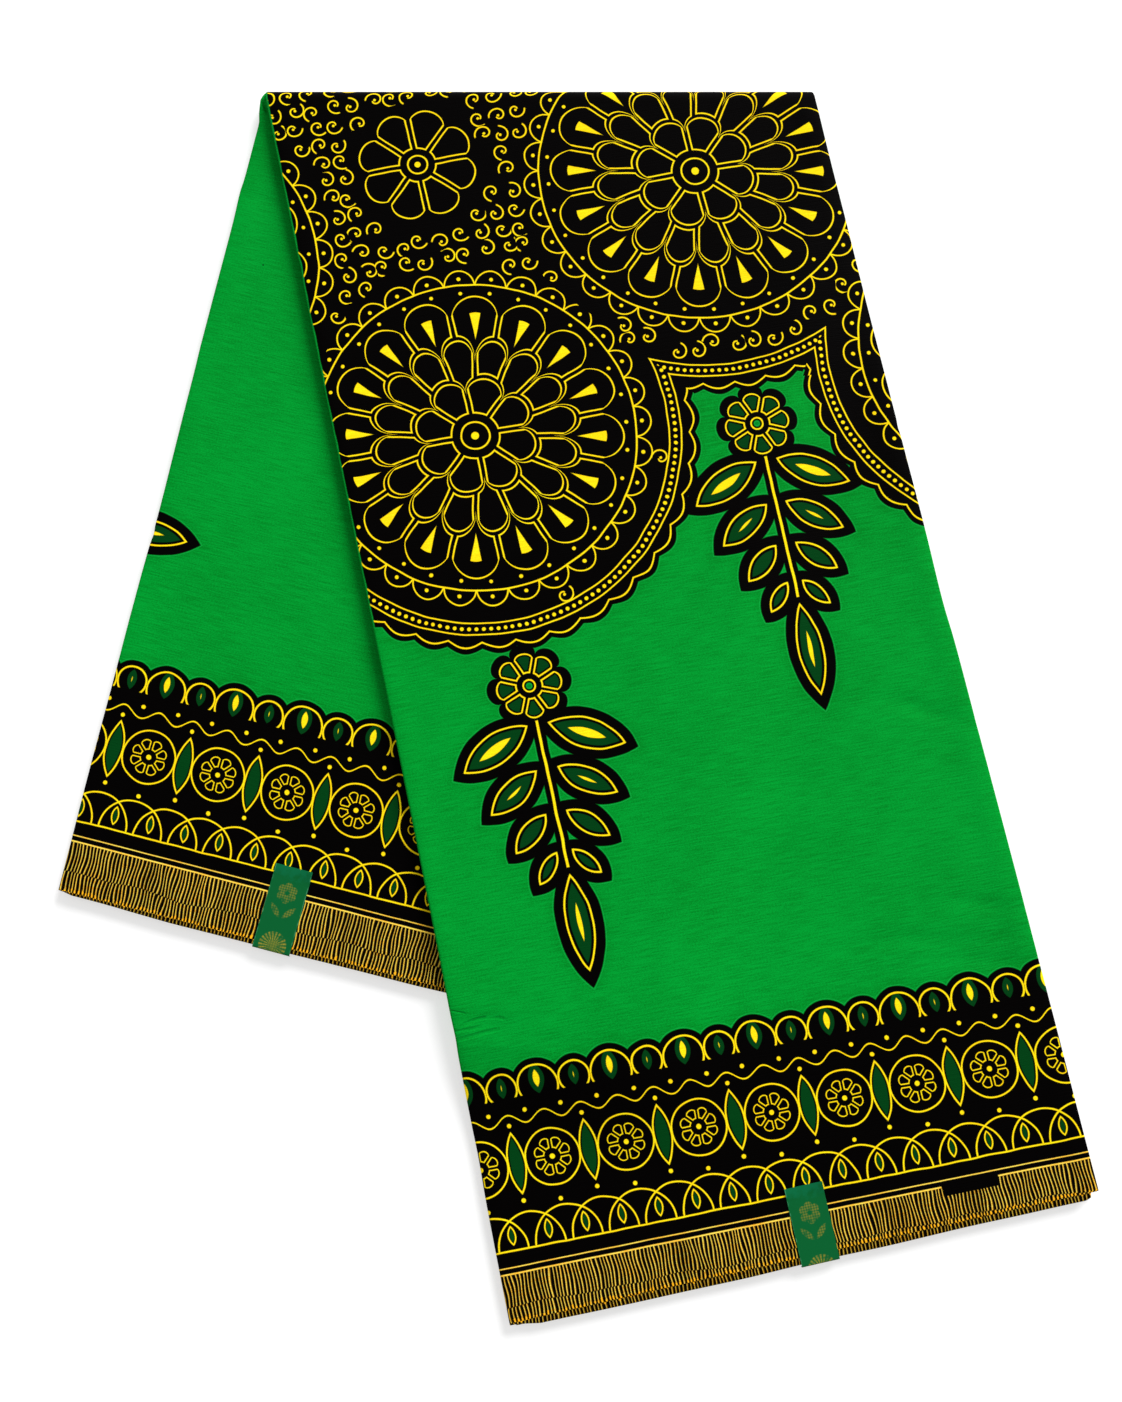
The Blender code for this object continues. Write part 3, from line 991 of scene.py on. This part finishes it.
def field_print(tree, x, y, _):
    """The middle of the cloth: big flowers in a half-drop repeat on a dark ground of curls, whose
    lobed and beaded edge lies on the green, with a sprig that hangs from each lobe."""
    at = lobes(tree, x, y)
    big, r, turn = petals_around(tree, at.near_x, at.near_y, BIG_FLOWER, BIG_FLOWER_EYE)
    cy = formula(tree, "y - small_y", y=y, small_y=FIELD.small_y)
    small, rc, _ = petals_around(tree, at.bx, cy, SMALL_FLOWER, SMALL_FLOWER_EYE)

    # Each sprig hangs under the lobe that is nearer, and a stray leaf lies further up.
    hung = chart(
        tree,
        """
        x = min(abs(ax), abs(bx))
        y = y - right_foot - (left_foot - right_foot) * less(abs(bx), abs(ax))
        knot_y = y - knot_row
        """,
        y=y, ax=at.ax, bx=at.bx, right_foot=FIELD.right_y - FIELD.right_lobe,
        left_foot=FIELD.left_y - FIELD.left_lobe, knot_row=SPRIG_KNOT_ROW,
    )
    leaves = [leaf_depth(tree, hung.x, hung.y, leaf) for leaf in SPRIG]
    leaves.append(leaf_depth(tree, at.bx, y, STRAY_LEAF))
    knot, rk, _ = petals_around(tree, hung.x, hung.knot_y, SPRIG_KNOT, SPRIG_KNOT_EYE)

    # The dark ground has a scalloped edge with a beaded trim inside it, and each big flower a ring
    # of small arcs and studs. The cloth is folded just where the block's edge fell, at 1.2 mm, which
    # leaves a thin rim of green.
    return chart(
        tree,
        """
        leaves = min(leaves, outside - 1.5)
        stem = min(3.4 - sprig_x, stem_top - sprig_y, sprig_y - stem_tip)
        ground = 3.2 * abs(sin(turn * (126 + 18 * at_right))) - outside - 2
        bead = (fract(turn * (176 + 20 * at_right)) - 0.5) * 4.1
        beads = inside(1.05 - far(outside + 13, bead))
        trim = max(line(ground - 3.4, 0.44), line(outside + 9.8, 0.38), beads, line(outside + 16.4, 0.38))
        above = r - ring
        beside = (fract(turn * arcs) - 0.5) * r * arc_turn
        arc = line(far(above, beside) - 8.6, 0.38) * inside(above)
        studs = max(inside(1.05 - far(above - 3.6, beside)), inside(1 - far(above + 5, beside)))
        round_flower = max(arc, line(above, 0.44), studs)
        eyes = max(line(r - 8, 0.44), inside(2.2 - r), line(rc - 5.6, 0.44), inside(1.7 - rc))
        knot_lines = max(line(rk - 3.2, 0.4), line(knot - 1.2, 0.4))
        sprig = max(line(leaves - 1.5, 0.45), inside(leaves - 7.3), inside(stem - 2.7), knot_lines)
        petals = max(line(flowers - 1.5, 0.42), inside(flowers - 11.2))
        dark = min(max(ground, leaves + 4.2, stem, knot + 4.2), x - 1.2)
        leaf_green = inside(max(leaves - 3.4, knot - 2.6))
        gold = max(petals, trim, round_flower, curls, eyes, sprig) * inside(x - 1.2)
        """,
        leaves=deepest(tree, leaves), sprig_x=hung.x, sprig_y=hung.y, turn=turn, r=r, rc=rc, rk=rk,
        knot=knot, ring=BIG_FLOWER_RING, arcs=ARCS, arc_turn=math.tau / ARCS,
        flowers=deepest(tree, (big, small)), curls=curls(tree, x, y), **SPRIG_STEM, **vars(at),
    )


def plain_print(tree, x, y, _):
    """The open ground, with no motif, only a dark speck where a drop of dye fell."""
    return chart(tree, "leaf_green = inside(0.5 - far(x - speck_x, y - speck_y))", x=x, y=y, **SPECK)


def border_print(tree, x, y, _):
    """The deep dark border: interlaced arches, daisy roundels between leaf drops, and a scalloped
    top edge with buds."""
    at = chart(
        tree,
        """
        up = middle - abs(y - middle)
        mx = repeat(x, motif)
        hx = repeat(x + motif / 2, motif)
        qx = repeat(x + motif / 4, motif / 2)
        daisy_y = up - 80
        """,
        x=x, y=y, middle=CLOTH_MIDDLE, motif=MOTIF,
    )
    daisy, r, _ = petals_around(tree, at.mx, at.daisy_y, BORDER_DAISY, BORDER_DAISY_EYE)
    buds = (leaf_depth(tree, at.mx, at.up, BORDER_BUD), leaf_depth(tree, at.hx, at.up, BORDER_SMALL_BUD))
    return chart(
        tree,
        """
        arches = max(line(far(mx, up - 38) - 17.4, 0.4), line(far(hx, up - 38) - 17.4, 0.4)) * inside(up - 38)
        foot = max(line(up - 37.6, 0.4), line(seed - 0.7, 0.32), inside(1.1 - far(mx, up - 58.5)))
        roundel = max(line(r - 14.4, 0.4), line(daisy - 0.9, 0.26), inside(1.3 - r))
        wave = line(up - 102 - 2.6 * cos(x * wave_turn), 0.36)
        berries = max(inside(1.1 - far(qx, up - 106)), inside(1.1 - far(hx, abs(up - 80) - 19)))
        big_lobe = far(mx, up - 117)
        small_lobe = far(hx, up - 118)
        big_arc = line(big_lobe - 10.6, 0.46) * inside(small_lobe - 8.6)
        small_arc = line(small_lobe - 8, 0.46) * inside(big_lobe - 11)
        arcs = max(big_arc, small_arc) * inside(up - 113)
        dark = max(116 - up, 14.2 - big_lobe, 11.6 - small_lobe)
        leaf_green = inside(max(drop - 2.2, buds - 0.2, seed - 1.4))
        gold = max(arches, foot, roundel, line(drop - 1, 0.4), wave, berries, arcs, inside(buds - 2.6))
        """,
        daisy=daisy, r=r, seed=leaf_depth(tree, at.qx, at.up, BORDER_SEED),
        drop=leaf_depth(tree, at.hx, at.up, BORDER_DROP), buds=deepest(tree, buds),
        wave_turn=2 * math.tau / MOTIF, **vars(at),
    )


def selvedge_print(tree, x, y, from_hem):
    """The selvedge: a comb of fine hand-cut stripes square to the hem, each with a burnt edge, under
    two gold lines. It is frayed at the hem, and one place in it is bare."""
    up = formula(tree, "middle - abs(y - middle)", y=y, middle=CLOTH_MIDDLE)
    place = add_node(tree, "ShaderNodeCombineXYZ", {0: x, 1: up}).outputs[0]
    lengthwise = add_node(tree, "ShaderNodeMapping", {"Vector": place, "Scale": (1.0, 0.12, 1.0)}).outputs[0]
    stray, drift, tufts = (
        add_node(
            tree, "ShaderNodeTexNoise", {"Vector": laid, "Scale": scale, "Detail": detail},
            noise_dimensions="2D",
        ).outputs[0]
        for laid, scale, detail in ((lengthwise, 0.22, 1.0), (lengthwise, 0.03, 0.0), (place, 0.42, 2.0))
    )
    return chart(
        tree,
        """
        crack = up - 10.5 + (drift - 0.5) * 6
        below = less(from_hem, -0.15)
        wander = (stray - 0.5) * 1.3 + sin(up * 0.3 + drift * 24) * 0.32
        shifted = x + wander + inside(-crack) * 0.8 + below * 0.96
        stripe = repeat(shifted, spacing)
        bare = inside(min(bare_length - abs(x - bare_x), bare_height - abs(y - bare_y)))
        comb = inside(26.4 - up) * (1 - bare) * (1 - line(crack, 0.2) * 0.7)
        fray = inside(0.5 + (tufts - 0.5) * 7 - abs(from_hem - 0.6)) * line(stripe, 0.4)
        stripes = line(stripe, 0.16 + (stray - 0.5) * 0.2 - below * 0.08) * comb
        burnt = line(repeat(shifted - 0.3, spacing), 0.1) * 0.2
        amber = max(burnt * comb, fray)
        gold = max(stripes, line(up - 26.6, 0.36) * (1 - bare), line(up - 29.7, 0.26)) * (1 - fray)
        """,
        x=x, y=y, up=up, from_hem=from_hem, stray=stray, drift=drift, tufts=tufts, spacing=COMB_SPACING,
        **BARE_PLACE,
    )


def pressed_creases(tree, x, y):
    """The sharp creases' relief, as a part of their depth."""
    text = """
        dx = x - cx
        dy = y - cy
        height = hump((dy - slope * dx + curve * dx * dx) / width) * hump(dx / reach)
    """
    return deepest(tree, [chart(tree, text, x=x, y=y, **crease).height for crease in SHARP_CREASES])


def new_material(name, finish):
    """A material, with its node tree and the surface shader, whose own sockets hold its finish."""
    made = bpy.data.materials.new(name)
    made.use_nodes = True
    surface = made.node_tree.nodes["Principled BSDF"]
    for socket, value in finish.items():
        surface.inputs[socket].default_value = value
    return made, made.node_tree, surface


def printed_cotton(name, draw, ground=(GREEN, GREEN_DEEP), golds=(GOLD, GOLD_DEEP), wander=1.1):
    """Plain-woven cotton, wax printed and calendered: crisp, close and matt with a faint gloss. The
    dyes sink right in, so print and ground share one surface, with streaks along the warp."""
    made, tree, surface = new_material(name, COTTON_FINISH)
    where = add_node(tree, "ShaderNodeUVMap", uv_map="cloth").outputs[0]
    split = add_node(tree, "ShaderNodeSeparateXYZ", {0: where})
    from_hem = add_node(tree, "ShaderNodeAttribute", attribute_name="from_hem").outputs["Fac"]

    # A hand-cut block wanders, by a part of a millimetre over a centimetre or so.
    hand = add_node(
        tree, "ShaderNodeTexNoise", {"Vector": where, "Scale": WANDER_SCALE, "Detail": 1.0},
        noise_dimensions="2D",
    )
    astray = add_node(tree, "ShaderNodeSeparateColor", {0: hand.outputs["Color"]})
    at = chart(
        tree,
        """
        x = across * 1000 + (astray_x - 0.5) * wander
        y = along * 1000 + (astray_y - 0.5) * wander
        from_hem = from_hem * 1000
        """,
        across=split.outputs[0], along=split.outputs[1], astray_x=astray.outputs[0],
        astray_y=astray.outputs[1], wander=wander, from_hem=from_hem,
    )
    masks = vars(draw(tree, at.x, at.y, at.from_hem))

    # Thick warp threads show as thin streaks, about 14 mm long. The weave's own grain is drawn a
    # little under 1 mm, coarser than the real 0.35 mm. The green is deeper close to the dark print.
    stretched = add_node(tree, "ShaderNodeMapping", {"Vector": where, "Scale": STREAK_SCALE}).outputs[0]
    streaks, grain, mottle = (
        add_node(
            tree, "ShaderNodeTexNoise",
            {"Vector": laid, "Scale": scale, "Detail": detail, "Roughness": rough}, noise_dimensions="2D",
        ).outputs[0]
        for laid, scale, detail, rough in (
            (stretched, 1.0, 1.0, 0.5), (where, GRAIN_SCALE, 0.0, 0.5), (where, MOTTLE_SCALE, 5.0, 0.62),
        )
    )
    near = 0.0
    if "dark" in masks:
        edges = chart(
            tree,
            """
            near = min(max(1 + dark / 6, 0), 1)
            light_edge = line(dark + 0.5, 0.2) * 0.5
            black = inside(dark)
            """,
            dark=masks["dark"],
        )
        near = edges.near
        masks.update(light_edge=edges.light_edge, black=edges.black)
    uneven = formula(
        tree,
        "min(max((m - 0.5) * 0.9 + (g - 0.5) * 0.9 + (s - 0.5) * 1.3 + near * 0.3 + 0.38, 0), 1)",
        m=mottle, g=grain, s=streaks, near=near,
    )
    colour, gold_dye = (
        add_node(
            tree, "ShaderNodeMix", {0: uneven, 6: linear(light), 7: linear(deep)}, data_type="RGBA"
        ).outputs[2]
        for light, deep in (ground, golds)
    )
    dyes = dict(
        light_edge=linear(GREEN_EDGE), black=linear(BLACK), leaf_green=linear(LEAF_GREEN),
        amber=linear(AMBER), gold=gold_dye,
    )
    for layer, dye in dyes.items():
        if layer in masks:
            colour = add_node(
                tree, "ShaderNodeMix", {0: masks[layer], 6: colour, 7: dye}, data_type="RGBA"
            ).outputs[2]
    tree.links.new(colour, surface.inputs["Base Color"])

    # Real threads lie 0.35 mm apart, too fine for the render, so they are drawn 1 mm apart.
    weave = formula(
        tree, "sin(x * t) * sin(y * t) * 0.2 + g * 0.3 + s * 0.8", x=split.outputs[0], y=split.outputs[1],
        g=grain, s=streaks, t=math.tau / THREAD_SPACING,
    )
    if draw is plain_print:
        pressed = pressed_creases(tree, at.x, at.y)
        weave = formula(tree, "weave - pressed * depth", weave=weave, pressed=pressed, depth=CREASE_RELIEF)
    bump = add_node(tree, "ShaderNodeBump", {"Height": weave, "Strength": 0.4, "Distance": THREAD_RELIEF})
    tree.links.new(bump.outputs[0], surface.inputs["Normal"])
    return made


def label_paper():
    """Coated paper, printed dark green with stippled gold that has rubbed off in places: a smooth
    face with a faint gloss, lighter where its upper end is worn and at its cut edges."""
    made, tree, surface = new_material("coated label paper", LABEL_FINISH)
    where = add_node(tree, "ShaderNodeUVMap", uv_map="cloth").outputs[0]
    split = add_node(tree, "ShaderNodeSeparateXYZ", {0: where})
    worn = add_node(
        tree, "ShaderNodeTexNoise", {"Vector": where, "Scale": PAPER_GRAIN_SCALE, "Detail": 3.0}
    ).outputs[0]
    at = chart(
        tree,
        """
        x = across * 1000 - middle
        y = along * -1000
        side = abs(x)
        flower_y = y - row
        """,
        across=split.outputs[0], along=split.outputs[1], middle=LABEL_MIDDLE, row=LABEL_FLOWER_ROW,
    )
    flower, _, _ = petals_around(tree, at.x, at.flower_y, LABEL_FLOWER, LABEL_FLOWER_EYE)
    leaves = leaf_depth(tree, at.side, at.y, LABEL_LEAF)
    ink = chart(
        tree,
        """
        dots = min(max(0.5 + sin((x + y) * dot_turn) * sin((x - y) * dot_turn), 0.15), 1)
        fan = inside(radius - far(x, y - foot)) * (0.45 + 0.5 * sin(atan2(foot - y, x) * 22))
        printed = max(inside(max(flower, leaves)) * dots * 0.45, fan * (0.4 + dots * 0.6))
        stipple = printed * min((worn - 0.3) * 4, 0.9)
        cut_edge = line(side - 10, 0.22) * min(max((worn - 0.46) * 4, 0), 0.5)
        rubbed = min(max(0.75 - y / 9 + (worn - 0.5) * 2, 0), 0.55)
        """,
        worn=worn, flower=flower, leaves=leaves, dot_turn=math.pi / LABEL_DOT_SPACING, **LABEL_FAN,
        **vars(at),
    )
    colour = linear(LABEL_GREEN)
    for share, dye in ((ink.rubbed, LABEL_WORN), (ink.stipple, LABEL_GOLD), (ink.cut_edge, LABEL_EDGE)):
        colour = add_node(
            tree, "ShaderNodeMix", {0: share, 6: colour, 7: linear(dye)}, data_type="RGBA"
        ).outputs[2]
    tree.links.new(colour, surface.inputs["Base Color"])
    bump = add_node(tree, "ShaderNodeBump", {"Height": worn, "Strength": 0.25, "Distance": PAPER_RELIEF})
    tree.links.new(bump.outputs[0], surface.inputs["Normal"])
    return made


def on_open_ground(x, y):
    """True where no motif of the field comes near a place, in millimetres."""
    ax = abs((x - FIELD.right_x + FIELD.width / 2) % FIELD.width - FIELD.width / 2)
    bx = (x - FIELD.left_x + FIELD.width / 2) % FIELD.width - FIELD.width / 2
    under_left = abs(bx) < ax
    foot = FIELD.left_y - FIELD.left_lobe if under_left else FIELD.right_y - FIELD.right_lobe
    return not (
        math.hypot(ax, y - FIELD.right_y) < FIELD.right_lobe + MOTIF_MARGIN
        or math.hypot(bx, y - FIELD.left_y) < FIELD.left_lobe + MOTIF_MARGIN
        or abs(y - FIELD.band_y) < FIELD.band_half + MOTIF_MARGIN
        or (min(ax, abs(bx)) < SPRIG_ROOM[0] and -SPRIG_ROOM[1] < y - foot < MOTIF_MARGIN)
        or (abs(bx - STRAY_LEAF["x"]) < STRAY_ROOM[0] and abs(y - STRAY_LEAF["y"]) < STRAY_ROOM[1])
    )


def print_cloth(piece, prints, plain_to):
    """Gives each face the print of its place: the selvedge, the border, the field or open ground."""
    for material in prints:
        piece.data.materials.append(material)
    cloth = piece.data.uv_layers["cloth"].data
    for face in piece.data.polygons:
        x, y = (sum(cloth[loop].uv[axis] for loop in face.loop_indices) / face.loop_total for axis in (0, 1))
        up = min(y, CLOTH_ACROSS - y)
        if up < SELVEDGE_DEPTH:
            face.material_index = 0
        elif up < BORDER_TOP:
            face.material_index = 1
        else:
            face.material_index = 3 if y < plain_to or on_open_ground(x * 1000, y * 1000) else 2


def table_and_lights():
    bpy.ops.object.select_all(action="DESELECT")
    bpy.ops.mesh.primitive_plane_add(size=TABLE_SIZE, location=(0.0, 0.0, -TABLE_DROP))
    table = bpy.context.object
    table.name = "white_table"
    paint, _, surface = new_material("matt white light table", TABLE_FINISH)
    surface.inputs["Base Color"].default_value = linear(TABLE_COLOUR)
    table.data.materials.append(paint)
    world = bpy.data.worlds.new("white surround")
    world.use_nodes = True
    background = world.node_tree.nodes["Background"]
    background.inputs["Color"].default_value = (1.0, 1.0, 1.0, 1.0)
    background.inputs["Strength"].default_value = SURROUND_LIGHT
    bpy.context.scene.world = world
    lamp = bpy.data.lights.new("soft studio light", "SUN")
    lamp.energy = LAMP_STRENGTH
    lamp.angle = LAMP_SOFTNESS
    placed = bpy.data.objects.new("soft_studio_light", lamp)
    placed.rotation_euler = LAMP_DIRECTION.to_track_quat("-Z", "Y").to_euler()
    bpy.context.scene.collection.objects.link(placed)


def add_camera():
    lens = bpy.data.cameras.new("camera")
    lens.lens = LENS
    lens.sensor_fit = "AUTO"
    lens.sensor_width = SENSOR
    camera = bpy.data.objects.new("camera", lens)
    camera.location = CAMERA_PLACE
    camera.rotation_euler = (CAMERA_TILT, 0.0, 0.0)
    bpy.context.scene.collection.objects.link(camera)
    bpy.context.scene.camera = camera


add_camera()
table_and_lights()
bpy.context.scene.view_settings.view_transform = "Standard"

prints = (
    printed_cotton(
        "wax print cotton, striped selvedge", selvedge_print, ground=(BLACK, BLACK),
        golds=(STRIPE_GOLD, STRIPE_GOLD_DEEP), wander=0.3,
    ),
    printed_cotton("wax print cotton, border", border_print),
    printed_cotton("wax print cotton, field", field_print),
    printed_cotton("wax print cotton, open ground", plain_print),
)
for stretch in ("back", "front"):
    ply = top_ply(stretch)
    others = [ply_stack(stretch)]
    for piece in (ply, others[0]):
        print_cloth(piece, prints, BACK_PLAIN_TO if stretch == "back" else 0.0)
    if stretch == "back":
        others.append(corner_pleat())
        others[1].data.materials.append(prints[3])
    for piece in (ply, *others):
        finish_piece(piece, stretch + "_stretch")
    cut, area = flat_cut(stretch)

paper = label_paper()
for label in LABELS:
    piece = paper_label(label)
    piece.data.materials.append(paper)
    finish_piece(piece, label["name"])
